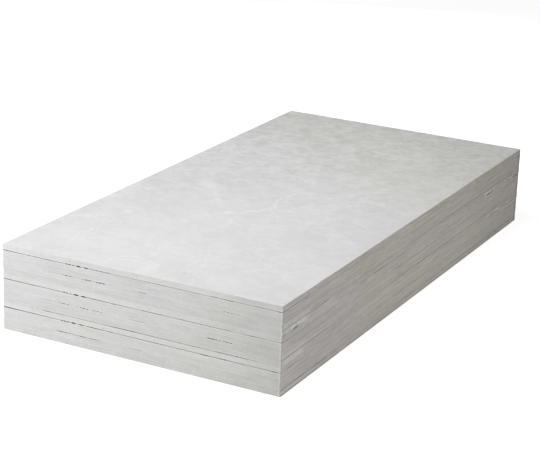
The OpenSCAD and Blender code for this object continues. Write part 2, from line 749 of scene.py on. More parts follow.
    def face_grid(self) -> tuple[np.ndarray, tuple[int, int], np.ndarray]:
        """Works the upper face as a grid inside the innermost ring.

        The height is the board's own, less a hollow that is the sum of random ripples across
        and along the board, and fades out towards the ring.

        Returns:
            The grid's points, its numbers of cells along and across the board, and for each
            station the grid's point beside it.
        """
        rim, rng = self.rim, self.rng
        limit = self.half - self.inner_rings[0] - self.corner_radius
        across, lengthways = (
            np.linspace(-1.0, 1.0, round(2.0 * reach / self.grid_step) + 1) for reach in limit
        )
        x, y = np.meshgrid(across * limit[0], lengthways * limit[1])
        hollow = np.zeros_like(x)
        for pitch, share in self.ripples:
            lean = rng.uniform(-0.5, 0.5, 2)
            first = wander(x + lean[0] * y, pitch, 4.0, rng)
            second = wander(y + lean[1] * x, pitch, 4.0, rng)
            hollow += share * (0.5 + 0.5 * first * second)
        inside = np.minimum(limit[0] - np.abs(x), limit[1] - np.abs(y))
        fade = np.clip(inside / self.hollow_fade, 0.0, 1.0)
        z = self.foot + self.thickness - self.face_hollow * hollow * fade
        points = np.stack((x + self.centre[0], y + self.centre[1], z), axis=2).reshape(-1, 3)
        columns, rows = len(across) - 1, len(lengthways) - 1
        column = np.rint((rim.anchors[:, 0] + 1.0) / 2.0 * columns).astype(int)
        row = np.rint((rim.anchors[:, 1] + 1.0) / 2.0 * rows).astype(int)
        return points, (rows, columns), row * (columns + 1) + column

    def build(self) -> bpy.types.Object:
        """Makes the board's mesh.

        A point of the section at an inset d lies at anchor times (half size - radius - d),
        plus normal times radius, so that each ring is the plan drawn in by d.

        Returns:
            The board's object, at the origin, with its place in its mesh.
        """
        inset, height = self.section()
        rows, count = inset.shape
        core = self.half - self.corner_radius
        plan = self.rim.anchors[None] * (core - inset[..., None])
        plan = plan + self.rim.normals[None] * self.corner_radius + self.centre
        points = np.concatenate((plan, (height + self.foot)[..., None]), axis=2).reshape(-1, 3)
        pale, dirt_and_shade = self.smears(height)
        # The dark streaks of dirt and painted shade join the painted shade of the open joints.
        self.masks["seam"] = np.maximum(self.masks["seam"], dirt_and_shade)
        self.masks["pale"] = pale
        ring = np.arange(count)
        after = np.roll(ring, -1)
        starts = np.arange(rows - 1)[:, None] * count
        quads = np.stack(
            (starts + count + ring, starts + count + after, starts + after, starts + ring), axis=2
        )
        faces = quads.reshape(-1, 4).tolist()
        in_face = len(self.inner_rings)
        finish = np.zeros((rows - 1, count), np.int32)
        finish[in_face : rows - 1 - in_face] = 1 + self.rim.edge_of % 2
        if self.relieved_face:
            grid, cells, beside = self.face_grid()
            faces += self._face_faces(ring, cells, beside + len(points), len(points))
            points = np.concatenate((points, grid))
        else:
            faces.append(ring.tolist())
        faces.append((ring[::-1] + (rows - 1) * count).tolist())
        finish = np.pad(finish.ravel(), (0, len(faces) - finish.size))
        mesh = bpy.data.meshes.new(self.piece_name)
        mesh.from_pydata(points, [], faces)
        mesh.polygons.foreach_set("material_index", finish)
        mesh.polygons.foreach_set("use_smooth", finish == 0)
        self._store(mesh, len(points))
        mesh.update()
        piece = bpy.data.objects.new(self.piece_name, mesh)
        bpy.context.scene.collection.objects.link(piece)
        return piece

    @staticmethod
    def _face_faces(
        ring: np.ndarray, cells: tuple[int, int], beside: np.ndarray, first: int
    ) -> list[list[int]]:
        """Joins the innermost ring to the face's grid, and fills the grid.

        Args:
            ring: The ring's points.
            cells: Numbers of cells along and across the board.
            beside: The grid's point beside each of the ring's.
            first: The grid's first point.

        Returns:
            The faces, each as its points.
        """
        after = np.roll(ring, -1)
        tie = np.stack((ring, after, beside[after], beside), axis=1)
        flat = beside[after] == beside
        up = cells[1] + 1
        cell = np.arange(cells[0])[:, None] * up + np.arange(cells[1]) + first
        squares = np.stack((cell, cell + 1, cell + up + 1, cell + up), axis=2)
        return tie[~flat].tolist() + tie[flat, :3].tolist() + squares.reshape(-1, 4).tolist()

    def _store(self, mesh: bpy.types.Mesh, total: int) -> None:
        """Stores the masks on the mesh's points, with 0 on the points of the face's grid.

        Args:
            mesh: The board's mesh.
            total: Number of points in the mesh.
        """
        rise = ((self.number - 1) % BUNDLE) / (BUNDLE - 1)
        chance = self.rng.uniform(0.0, 1.0)
        tone = self.tone_rise * rise + (1.0 - self.tone_rise) * chance
        everywhere = {"tone": tone, "lot": self.lot_step * self.number}
        for name, values in (self.masks | everywhere).items():
            stored = np.full(total, values if name in everywhere else 0.0)
            if name in self.masks:
                stored[: values.size] = values.ravel()
            mesh.attributes.new(name, "FLOAT", "POINT").data.foreach_set("value", stored)

    @property
    def piece_name(self) -> str:
        """Name of the finished piece."""
        return f"{self.node}_sheet"


class Wiring:
    """Lays nodes and links in one node tree."""

    def __init__(self, tree: bpy.types.NodeTree) -> None:
        """Takes the node tree to work in."""
        self.tree = tree

    def node(
        self, kind: str, inputs: dict[str | int, object] | None = None, **settings: object
    ) -> bpy.types.Node:
        """Adds a node.

        Args:
            kind: Blender's name of the node's type.
            inputs: Sockets or values for its inputs, by name or number.
            settings: Values of its own settings.

        Returns:
            The node.
        """
        made = self.tree.nodes.new(kind)
        for name, value in settings.items():
            setattr(made, name, value)
        for key, value in (inputs or {}).items():
            self.feed(made.inputs[key], value)
        return made

    def feed(self, socket: Socket, value: object) -> None:
        """Links a socket to an input, or sets the input's own value.

        Args:
            socket: The input.
            value: Socket that it reads, or its value.
        """
        if isinstance(value, bpy.types.NodeSocket):
            self.tree.links.new(value, socket)
        else:
            socket.default_value = value

    def math(self, operation: str, *values: Value, clamp: bool = False) -> Socket:
        """Adds a Math node.

        Args:
            operation: Blender's name of the operation.
            values: Its inputs, in order.
            clamp: Whether the result is kept between 0 and 1.

        Returns:
            The result.
        """
        made = self.node("ShaderNodeMath", dict(enumerate(values)), operation=operation)
        made.use_clamp = clamp
        return made.outputs[0]

    def total(self, *terms: tuple[Value, float]) -> Socket:
        """Adds up values, each times its own weight.

        Args:
            terms: Each value with its weight.

        Returns:
            The sum.
        """
        result = self.math("MULTIPLY", *terms[0])
        for value, weight in terms[1:]:
            result = self.math("MULTIPLY_ADD", value, weight, result)
        return result

    def vector(self, operation: str, *values: object) -> Socket:
        """Adds a Vector Math node and returns its vector, or its number where it gives one."""
        made = self.node("ShaderNodeVectorMath", dict(enumerate(values)), operation=operation)
        return made.outputs["Value" if operation in ("LENGTH", "DOT_PRODUCT") else "Vector"]

    def scaled(self, vector: Socket, scale: Value) -> Socket:
        """Multiplies a vector by a number."""
        inputs = {"Vector": vector, "Scale": scale}
        return self.node("ShaderNodeVectorMath", inputs, operation="SCALE").outputs["Vector"]

    def offset(self, place: Socket, origin: object, by: object = (1.0, 1.0, 0.0)) -> Socket:
        """Gives a place's offset from an origin, in plan, times a factor on each axis."""
        return self.vector("MULTIPLY", self.vector("SUBTRACT", place, origin), by)

    def near(self, away: Socket, width: Value) -> Socket:
        """Gives 1 where a distance is 0, and falls evenly to 0 at a width."""
        return self.math("SUBTRACT", 1.0, self.math("DIVIDE", away, width), clamp=True)

    def spread(
        self, value: Value, low: float, high: float, to_low: float = 0.0, to_high: float = 1.0
    ) -> Socket:
        """Maps a range of a value to another range, with smooth ends.

        Args:
            value: The value.
            low: Start of its range.
            high: End of its range.
            to_low: What the start becomes.
            to_high: What the end becomes.

        Returns:
            The mapped value, which stays inside the other range.
        """
        ends = {"From Min": low, "From Max": high, "To Min": to_low, "To Max": to_high}
        made = self.node(
            "ShaderNodeMapRange", {"Value": value, **ends}, interpolation_type="SMOOTHSTEP"
        )
        return made.outputs["Result"]

    def blend(self, factor: Value, low: object, high: object, kind: str = "MIX") -> Socket:
        """Mixes two colours.

        Args:
            factor: How much of the second one shows, from 0 to 1.
            low: The first colour.
            high: The second colour.
            kind: Blender's name of the way of mixing.

        Returns:
            The mixed colour.
        """
        made = self.node("ShaderNodeMix", data_type="RGBA", blend_type=kind)
        factors = [socket for socket in made.inputs if socket.type == "VALUE"]
        colours = [socket for socket in made.inputs if socket.type == "RGBA"]
        for socket, value in zip([factors[0], *colours], (factor, low, high)):
            self.feed(socket, value)
        return next(socket for socket in made.outputs if socket.type == "RGBA")

    def tint(self, mask: Value, colour: Socket, by: Colour) -> Socket:
        """Multiplies a colour by another, as far as a mask shows."""
        return self.blend(mask, colour, by, "MULTIPLY")

    def noise(self, vector: Socket, scale: Value, detail: Value, rough: float = 0.5) -> Socket:
        """Adds a Noise texture and returns its value."""
        inputs = {"Vector": vector, "Scale": scale, "Detail": detail, "Roughness": rough}
        return self.node("ShaderNodeTexNoise", inputs).outputs[0]

    def stirred(self, vector: Socket, scale: Value, swirl: Value, detail: float) -> Socket:
        """Pushes places about: each one moves by swirl times a noise's colour less a half.

        Args:
            vector: The places.
            scale: Scale of the noise.
            swirl: How far it pushes.
            detail: Detail of the noise.

        Returns:
            The moved places.
        """
        push = self.node("ShaderNodeTexNoise", {"Vector": vector, "Scale": scale, "Detail": detail})
        centred = self.vector("SUBTRACT", push.outputs["Color"], (0.5, 0.5, 0.5))
        return self.vector("ADD", vector, self.scaled(centred, swirl))

    def attribute(self, name: str) -> Socket:
        """Reads one of the mesh's own masks."""
        return self.node("ShaderNodeAttribute", attribute_name=name).outputs["Fac"]

    def places(self) -> tuple[Socket, Socket]:
        """Gives a point's place, and the same shifted far off by board, so no two boards match.

        Returns:
            The place, and the shifted place.
        """
        place = self.node("ShaderNodeTexCoord").outputs["Object"]
        lot = self.attribute("lot")
        shift = self.node("ShaderNodeCombineXYZ", {0: lot, 1: self.math("MULTIPLY", lot, 1.7)})
        return place, self.vector("ADD", place, shift.outputs[0])

    def place_group(
        self, group: bpy.types.NodeTree, **inputs: object
    ) -> bpy.types.bpy_prop_collection:
        """Places a group with its own values.

        Args:
            group: The group.
            inputs: Sockets or values for its inputs, by name.

        Returns:
            The group's outputs.
        """
        made = self.node("ShaderNodeGroup", node_tree=group)
        for name, value in inputs.items():
            self.feed(made.inputs[name], value)
        return made.outputs

    def use(self, group: bpy.types.NodeTree, **inputs: object) -> Socket:
        """Places a group with its own values and returns its first output."""
        return self.place_group(group, **inputs)[0]


class Group:
    """A shader node group under construction, with numbers as its outputs."""

    def __init__(self, name: str, **inputs: object) -> None:
        """Starts the group.

        Args:
            name: Name of the group.
            inputs: Value of each input, or None for a place in space.
        """
        self.tree = bpy.data.node_groups.new(name, "ShaderNodeTree")
        for label, value in inputs.items():
            is_place = value is None or isinstance(value, tuple)
            kind = "NodeSocketVector" if is_place else "NodeSocketFloat"
            socket = self.tree.interface.new_socket(label, in_out="INPUT", socket_type=kind)
            if value is not None:
                socket.default_value = value
        self.wiring = Wiring(self.tree)
        self.given = self.tree.nodes.new("NodeGroupInput").outputs

    def closed(self, **results: Socket) -> bpy.types.NodeTree:
        """Names an output for each result and joins them up.

        Args:
            results: Each output's name, with what it puts out.

        Returns:
            The finished group.
        """
        for label in results:
            self.tree.interface.new_socket(label, in_out="OUTPUT", socket_type="NodeSocketFloat")
        leave = self.tree.nodes.new("NodeGroupOutput").inputs
        for label, result in results.items():
            self.wiring.feed(leave[label], result)
        return self.tree


class Effects:
    """The effects of the finishes, each a node group that is made once."""

    def __init__(self) -> None:
        """Builds the groups."""
        self.cloud = self._cloud()
        self.islands = self._islands()
        self.vein = self._vein()
        self.loop = self._loop()
        self.stroke = self._stroke()
        self.grain = self._grain()
        self.pit = self._pit()
        self.laminae = self._laminae()
        self.drift = self._drift()

    @staticmethod
    def _cloud() -> bpy.types.NodeTree:
        """Soft cloudy mottling: noise whose place is first stirred by a larger noise.

        Returns:
            The group.
        """
        group = Group("cloudy_mottle", Vector=None, Scale=6.0, Swirl=0.1, Detail=5.0)
        w, given = group.wiring, group.given
        larger = w.math("MULTIPLY", given["Scale"], 0.6)
        moved = w.stirred(given["Vector"], larger, given["Swirl"], 2.0)
        return group.closed(Cloud=w.noise(moved, given["Scale"], given["Detail"], 0.55))

    @staticmethod
    def _islands() -> bpy.types.NodeTree:
        """Skims of plaster over each other: a stirred noise is cut into levels.

        Each level has a tone of its own, a thin line runs where two levels meet, and the
        surface steps up from one to the next.

        Returns:
            The group.
        """
        group = Group("plaster_skims", Vector=None, Scale=14.0, Swirl=0.05, Steps=9.0, Width=0.1)
        w, given = group.wiring, group.given
        finer = w.math("MULTIPLY", given["Scale"], 2.3)
        moved = w.stirred(given["Vector"], finer, given["Swirl"], 3.0)
        raised = w.math("MULTIPLY", w.noise(moved, given["Scale"], 2.5, 0.5), given["Steps"])
        level = w.math("FLOOR", raised)
        passed = w.math("SUBTRACT", raised, level)
        tone = w.node("ShaderNodeTexWhiteNoise", {"W": level}, noise_dimensions="1D").outputs[0]
        away = w.math("MINIMUM", passed, w.math("SUBTRACT", 1.0, passed))
        line = w.near(away, given["Width"])
        rise = w.math("ADD", level, w.spread(passed, 0.8, 1.0))
        return group.closed(Tone=tone, Line=line, Rise=rise)

    @staticmethod
    def _vein() -> bpy.types.NodeTree:
        """Thin swirling lines: where a stirred noise crosses its middle, within a width.

        Returns:
            The group.
        """
        group = Group("trowel_vein", Vector=None, Scale=5.0, Swirl=0.1, Width=0.02)
        w, given = group.wiring, group.given
        finer = w.math("MULTIPLY", given["Scale"], 1.7)
        moved = w.stirred(given["Vector"], finer, given["Swirl"], 3.0)
        away = w.math("ABSOLUTE", w.math("SUBTRACT", w.noise(moved, given["Scale"], 1.5, 0.4), 0.5))
        near = w.near(away, given["Width"])
        return group.closed(Vein=w.math("MULTIPLY", near, near))

    @staticmethod
    def _loop() -> bpy.types.NodeTree:
        """An open ring: near a radius from a centre, and turned towards the side it faces.

        Returns:
            The group.
        """
        group = Group(
            "trowel_loop", Vector=None, Centre=(0.0, 0.0, 0.0), Radius=0.1,
            Facing=(1.0, 0.0, 0.0), Reach=0.0, Width=0.002,
        )
        w, given = group.wiring, group.given
        flat = w.offset(given["Vector"], given["Centre"])
        away = w.math("SUBTRACT", w.vector("LENGTH", flat), given["Radius"])
        near = w.near(w.math("ABSOLUTE", away), given["Width"])
        turned = w.vector("DOT_PRODUCT", w.vector("NORMALIZE", flat), given["Facing"])
        shown = w.spread(w.math("SUBTRACT", turned, given["Reach"]), -0.08, 0.12)
        return group.closed(Vein=w.math("MULTIPLY", w.math("POWER", near, 1.5), shown))

    @staticmethod
    def _stroke() -> bpy.types.NodeTree:
        """A straight stroke: near the closest point of the line from one place to another.

        Returns:
            The group.
        """
        group = Group(
            "trowel_stroke", Vector=None, From=(0.0, 0.0, 0.0), To=(0.1, 0.0, 0.0), Width=0.005
        )
        w, given = group.wiring, group.given
        flat = w.offset(given["Vector"], given["From"])
        way = w.vector("SUBTRACT", given["To"], given["From"])
        passed = w.vector("DOT_PRODUCT", flat, way)
        share = w.math("DIVIDE", passed, w.vector("DOT_PRODUCT", way, way), clamp=True)
        away = w.vector("LENGTH", w.vector("SUBTRACT", flat, w.scaled(way, share)))
        return group.closed(Vein=w.math("POWER", w.near(away, given["Width"]), 1.3))

    @staticmethod
    def _grain() -> bpy.types.NodeTree:
        """Fine cement grain, as two sizes of noise.

        Returns:
            The group.
        """
        group = Group("cement_grain", Vector=None, Scale=400.0)
        w, given = group.wiring, group.given
        fine = w.noise(given["Vector"], given["Scale"], 2.0, 0.6)
        coarse = w.noise(given["Vector"], w.math("MULTIPLY", given["Scale"], 0.27), 2.0)
        return group.closed(Grain=w.total((fine, 0.6), (coarse, 0.4)))

    @staticmethod
    def _pit() -> bpy.types.NodeTree:
        """Scattered pits: round cells, of which a random share are kept.

        Returns:
            The group.
        """
        group = Group("pits", Vector=None, Scale=60.0, Share=0.1, Radius=0.12)
        w, given = group.wiring, group.given
        cells = w.node("ShaderNodeTexVoronoi", {"Vector": given["Vector"], "Scale": given["Scale"]})
        split = w.node("ShaderNodeSeparateColor", {"Color": cells.outputs["Color"]})
        kept = w.math("LESS_THAN", split.outputs[0], given["Share"])
        size = w.math("MULTIPLY", given["Radius"], w.math("ADD", split.outputs[1], 0.4))
        near = w.math("MULTIPLY", w.near(cells.outputs["Distance"], size), 2.5, clamp=True)
        return group.closed(Pit=w.math("MULTIPLY", kept, near))

    @staticmethod
    def _laminae() -> bpy.types.NodeTree:
        """Thin layers lying flat in the board: noise drawn out in plan and fine in height.

        Returns:
            The group.
        """
        group = Group("laminae", Vector=None, Run=4.0, Pitch=500.0)
        w, given = group.wiring, group.given
        run, pitch = given["Run"], given["Pitch"]
        drawn = w.node("ShaderNodeCombineXYZ", {0: run, 1: run, 2: pitch}).outputs[0]
        moved = w.vector("MULTIPLY", given["Vector"], drawn)
        return group.closed(Laminae=w.noise(moved, 1.0, 3.0, 0.6))

    @staticmethod
    def _drift() -> bpy.types.NodeTree:
        """A drift of age or painted shade: rises along a direction, and noise breaks up its front.

        Returns:
            The group.
        """
        group = Group(
            "drift", Vector=None, Lean=(0.55, 0.8, 0.0), Start=0.0, End=0.25,
            Patch=6.0, Ragged=0.4,
        )
        w, given = group.wiring, group.given
        along = w.vector("DOT_PRODUCT", given["Vector"], given["Lean"])
        stretched = w.vector("MULTIPLY", given["Vector"], (1.0, 1.0, 3.0))
        patch = w.math("SUBTRACT", w.noise(stretched, given["Patch"], 2.0), 0.5)
        front = w.math("MULTIPLY_ADD", patch, given["Ragged"], along)
        span = w.math("SUBTRACT", given["End"], given["Start"])
        share = w.math("DIVIDE", w.math("SUBTRACT", front, given["Start"]), span)
        return group.closed(Drift=w.spread(share, 0.0, 1.0))


def grey(level: float) -> Colour:
    """Gives a neutral grey."""
    return (level, level, level, 1.0)


class Surface(Wiring):
    """The wiring of a new material, with the inputs of its shader at hand."""

    def __init__(self, name: str, specular: float) -> None:
        """Starts the material.

        Args:
            name: Name of the material.
            specular: Its specular level, the same all over.
        """
        self.material = bpy.data.materials.new(name)
        self.material.use_nodes = True
        super().__init__(self.material.node_tree)
        self.inputs = self.tree.nodes["Principled BSDF"].inputs
        self.inputs["Specular IOR Level"].default_value = specular

    def finish(
        self,
        colour: Socket,
        grain: Socket,
        rough: tuple[float, float],
        relief: Socket,
        bump: tuple[float, float],
    ) -> bpy.types.Material:
        """Joins colour, roughness and relief to the shader.

        Args:
            colour: The surface's colour.
            grain: Its grain, from 0 to 1.
            rough: Its mean roughness, and the range over which the grain moves it.
            relief: Height of its bumps.
            bump: Strength of the bumps, and their distance in metres.

        Returns:
            The material.
        """
        mean, reach = rough
        raised = {"Height": relief, "Strength": bump[0], "Distance": bump[1]}
        self.feed(self.inputs["Base Color"], colour)
        spread = self.math("MULTIPLY_ADD", grain, reach, mean - reach / 2.0)
        self.feed(self.inputs["Roughness"], spread)
        self.feed(self.inputs["Normal"], self.node("ShaderNodeBump", raised).outputs[0])
        return self.material


@dataclass(frozen=True)
class Drift:
    """Where age, roughness or painted shade builds up: along a direction, behind a ragged front.

    Attributes:
        lean: The direction.
        start: Distance along it at which the build-up starts.
        end: Distance at which it is full.
        patch: Number of patches in a metre that break the front up.
        ragged: How far they push it to and fro.
    """

    lean: tuple[float, float, float]
    start: float
    end: float
    patch: float
    ragged: float

    def mask(self, w: Wiring, effects: Effects, place: Socket) -> Socket:
        """Gives how far the build-up has come at a place, from 0 to 1."""
        return w.use(effects.drift, Vector=place, Lean=self.lean, Start=self.start, End=self.end,
                     Patch=self.patch, Ragged=self.ragged)


@dataclass(frozen=True)
class Loop:
    """A curl left by the trowel on the face.

    Attributes:
        x: Its middle, across the board.
        y: Its middle, along the board.
        radius: Its radius.
        facing: Bearing of the middle of its arc, in degrees from +X towards +Y.
        half_turn: Half of the arc, in degrees.
        strength: How pale it is, from 0 to 1.
        width: Half of its line's width.
    """

    x: float
    y: float
    radius: float
    facing: float
    half_turn: float
    strength: float
    width: float


LOOPS = (
    Loop(-0.040, -0.573, 0.036, 70.0, 125.0, 0.60, 4.0 * MM),
    Loop(-0.042, -0.575, 0.020, 20.0, 130.0, 0.50, 3.5 * MM),
    Loop(-0.055, -0.510, 0.032, 40.0, 75.0, 0.45, 4.0 * MM),
    Loop(-0.228, -0.575, 0.036, -10.0, 75.0, 0.60, 4.0 * MM),
    Loop(-0.320, -0.500, 0.110, 5.0, 24.0, 0.60, 4.0 * MM),
    Loop(-0.215, -0.465, 0.017, 60.0, 150.0, 0.60, 3.5 * MM),
    Loop(-0.250, -0.392, 0.024, 80.0, 170.0, 0.50, 4.0 * MM),
    Loop(-0.238, -0.335, 0.028, -10.0, 90.0, 0.50, 4.0 * MM),
    Loop(-0.275, -0.425, 0.028, 160.0, 100.0, 0.50, 4.0 * MM),
    Loop(-0.185, -0.262, 0.032, 75.0, 65.0, 0.22, 4.5 * MM),
    Loop(-0.058, -0.378, 0.012, 0.0, 180.0, 0.35, 3.5 * MM),
    Loop(0.255, -0.410, 0.024, 90.0, 70.0, 0.35, 3.5 * MM),
    Loop(-0.240, 0.010, 0.050, 120.0, 90.0, 0.40, 4.0 * MM),
    Loop(-0.130, -0.120, 0.040, 250.0, 90.0, 0.28, 4.0 * MM),
    Loop(-0.276, 0.225, 0.008, 0.0, 180.0, 0.45, 16.0 * MM),
    Loop(-0.111, -0.308, 0.004, 0.0, 180.0, 0.45, 9.0 * MM),
    Loop(-0.063, -0.480, 0.003, 0.0, 180.0, 0.40, 9.0 * MM),
    Loop(-0.028, -0.507, 0.006, 0.0, 180.0, 0.35, 10.0 * MM),
)


@dataclass(frozen=True)
class Stroke:
    """A jagged pale vein on the face, in straight strokes from place to place.

    Attributes:
        places: The places that it passes, across and along the board.
        strength: How pale it is, from 0 to 1.
        width: Half of its line's width.
    """

    places: tuple[tuple[float, float], ...]
    strength: float
    width: float


STROKES = (
    Stroke(((0.021, -0.012), (0.010, -0.068), (0.026, -0.118)), 0.52, 6.0 * MM),
    Stroke(((0.026, -0.118), (0.008, -0.160), (-0.014, -0.190), (-0.050, -0.211)), 0.60, 6.5 * MM),
    Stroke(((-0.050, -0.211), (-0.064, -0.236), (-0.092, -0.262)), 0.34, 6.0 * MM),
    Stroke(((0.024, -0.124), (0.036, -0.147), (0.062, -0.164), (0.078, -0.192)), 0.34, 5.5 * MM),
    Stroke(((-0.012, -0.236), (-0.002, -0.262), (-0.004, -0.285)), 0.28, 10.0 * MM),
)
NICK = Loop(0.073, -0.573, 0.0, 0.0, 180.0, 1.0, 4.0 * MM)
NICK_RIM = Loop(0.071, -0.564, 0.008, 90.0, 100.0, 0.50, 4.0 * MM)


@dataclass(frozen=True)
class FaceFinish:
    """The trowelled face of a board: pale grey, cloudy, with thin paler curls.

    Attributes:
        pale: Colour of the lightest clouds.
        deep: Colour of the deepest clouds.
        vein: Colour of the curls and veins.
        pit: Colour of the pits.
        tints: Colours that multiply the face, each with the drift that it follows: a yellowing, and
            painted shade that darkens the top towards its right and its far end.
        wiped: Colour that the wiped oval multiplies it by.
        wiped_middle: Middle of that oval.
        wiped_half: Half of its width and length.
        loops: The larger curls.
        strokes: The jagged veins.
        nick: A small dark nick.
        nick_rim: The pale rim of the nick.
        smooth_end: Contrast of the small mottling at the end that was trowelled last.
        coarse_end: Contrast of the small mottling at the other end.
        coarsening: Where the mottling passes from the one to the other.
        roughness: Roughness of the face.
    """

    pale: Colour = grey(0.765)
    deep: Colour = grey(0.600)
    vein: Colour = grey(0.83)
    pit: Colour = (0.30, 0.30, 0.29, 1.0)
    tints: tuple[tuple[Colour, Drift], ...] = (
        (YELLOWED, Drift((0.55, 0.8, 0.0), 0.06, 0.36, 7.0, 0.45)),
        # Painted shade: these two darken the top towards its right and its far end.
        ((0.940, 0.940, 0.935, 1.0), Drift((1.0, 0.35, 0.0), 0.14, 0.50, 6.0, 0.25)),
        (grey(0.966), Drift((-0.25, 1.0, 0.0), 0.38, 0.52, 6.0, 0.25)),
    )
    wiped: Colour = grey(1.038)
    wiped_middle: tuple[float, float] = (0.035, -0.26)
    wiped_half: tuple[float, float] = (0.27, 0.52)
    loops: tuple[Loop, ...] = LOOPS
    strokes: tuple[Stroke, ...] = STROKES
    nick: Loop = NICK
    nick_rim: Loop = NICK_RIM
    smooth_end: float = 0.19
    coarse_end: float = 1.0
    coarsening: Drift = Drift((-0.35, 0.9, 0.0), -0.35, 0.45, 5.0, 0.8)
    roughness: float = 0.82

    def make(self, effects: Effects) -> bpy.types.Material:
        """Builds the material.

        Args:
            effects: The shared node groups.

        Returns:
            The material.
        """
        w = Surface("board_face", specular=0.35)
        place, own = w.places()
        coarse = self.coarsening.mask(w, effects, place)
        gain = self.coarse_end - self.smooth_end
        contrast = w.math("MULTIPLY_ADD", coarse, gain, self.smooth_end)
        skims = w.place_group(effects.islands, Vector=own, Scale=13.0, Swirl=0.055)
        broad = w.use(effects.cloud, Vector=own, Scale=4.5, Swirl=0.16)
        middle = w.use(effects.cloud, Vector=own, Scale=22.0, Swirl=0.06, Detail=2.5)
        small = w.use(effects.cloud, Vector=own, Scale=90.0, Swirl=0.018, Detail=3.0)
        blotch = w.use(effects.cloud, Vector=own, Scale=40.0, Swirl=0.04, Detail=2.5)
        ridge = w.use(effects.vein, Vector=own, Scale=19.0, Swirl=0.06, Width=0.05)
        groove = w.use(effects.vein, Vector=own, Scale=31.0, Swirl=0.04, Width=0.05)
        fine = w.total((middle, 0.48), (small, 0.20), (w.spread(blotch, 0.44, 0.57), 0.11),
                       (ridge, 0.07), (groove, -0.08))
        centred = w.math("SUBTRACT", fine, 0.40)
        even = w.total((broad, 0.24), (skims["Tone"], 0.05), (1.0, 0.355))
        mottle = w.math("MULTIPLY_ADD", centred, contrast, even)
        colour = w.blend(w.spread(mottle, 0.26, 0.74), self.deep, self.pale)
        veins = self._veins(w, effects, place, own, skims["Line"])
        colour = w.blend(veins, colour, self.vein)
        pit = w.use(effects.pit, Vector=own, Scale=22.0, Share=0.015, Radius=0.03)
        pit = w.math("MAXIMUM", pit, self._curl(w, effects, place, self.nick))
        colour = w.blend(w.math("MULTIPLY", pit, 0.8), colour, self.pit)
        for tint, drift in self.tints:
            colour = w.tint(drift.mask(w, effects, place), colour, tint)
        colour = w.tint(self._wiped(w, place, own), colour, self.wiped)
        grain = w.use(effects.grain, Vector=own, Scale=520.0)
        relief = w.total((grain, 1.0), (small, 0.5), (skims["Rise"], 0.30), (pit, -1.5))
        return w.finish(colour, grain, (self.roughness, 0.2), relief, (0.25, 0.4 * MM))

    def _wiped(self, w: Wiring, place: Socket, own: Socket) -> Socket:
        """Gives 1 inside an oval that has been wiped clean, and 0 outside its ragged rim.

        The place is counted from the oval's middle in half widths and half lengths, and noise
        is added to its distance.

        Args:
            w: The material's wiring.
            place: Place on the object.
            own: Place that differs from board to board.

        Returns:
            How much of the oval shows.
        """
        halves = (1.0 / self.wiped_half[0], 1.0 / self.wiped_half[1], 0.0)
        away = w.vector("LENGTH", w.offset(place, (*self.wiped_middle, 0.0), halves))
        ragged = w.math("MULTIPLY_ADD", w.noise(own, 6.0, 2.0), 0.5, away)
        return w.spread(ragged, 0.70, 1.35, 1.0, 0.0)

    @staticmethod
    def _curl(w: Wiring, effects: Effects, vector: Socket, loop: Loop) -> Socket:
        """Draws one curl.

        Args:
            w: The material's wiring.
            effects: The shared node groups.
            vector: The places.
            loop: The curl.

        Returns:
            How much of it shows, from 0 to 1.
        """
        turn = math.radians(loop.facing)
        curl = w.use(
            effects.loop, Vector=vector, Centre=(loop.x, loop.y, 0.0), Radius=loop.radius,
            Facing=(math.cos(turn), math.sin(turn), 0.0),
            Reach=math.cos(math.radians(loop.half_turn)) - 0.1, Width=loop.width,
        )
        return w.math("MULTIPLY", curl, loop.strength)

    def _veins(
        self, w: Wiring, effects: Effects, place: Socket, own: Socket, border: Socket
    ) -> Socket:
        """Draws the curls and the patches of fine veins.

        Args:
            w: The material's wiring.
            effects: The shared node groups.
            place: Place on the object.
            own: Place that differs from board to board.
            border: Lines between the plaster's skims.

        Returns:
            How much of the vein's colour shows, from 0 to 1.
        """
        vein = w.use(effects.vein, Vector=own, Scale=11.0, Swirl=0.07, Width=0.018)
        patch = w.spread(w.noise(own, 3.6, 2.0), 0.46, 0.60, 0.0, 0.45)
        kept = w.spread(w.noise(own, 9.0, 2.0), 0.42, 0.62, 0.0, 0.42)
        outline = w.math("MULTIPLY", border, kept)
        lines = w.math("MAXIMUM", w.math("MULTIPLY", vein, patch), outline)
        stirred = w.stirred(place, 15.0, 0.075, 3.0)
        for loop in self.loops:
            lines = w.math("MAXIMUM", lines, self._curl(w, effects, stirred, loop))
        broken = w.spread(w.noise(own, 42.0, 2.0), 0.36, 0.58, 0.25, 1.0)
        lines = w.math("MULTIPLY", lines, broken)
        jagged = w.stirred(place, 38.0, 0.024, 2.0)
        for stroke in self.strokes:
            for start, end in zip(stroke.places, stroke.places[1:]):
                line = w.use(
                    effects.stroke, Vector=jagged, From=(*start, 0.0), To=(*end, 0.0),
                    Width=stroke.width,
                )
                lines = w.math("MAXIMUM", lines, w.math("MULTIPLY", line, stroke.strength))
        return w.math("MAXIMUM", lines, self._curl(w, effects, place, self.nick_rim))


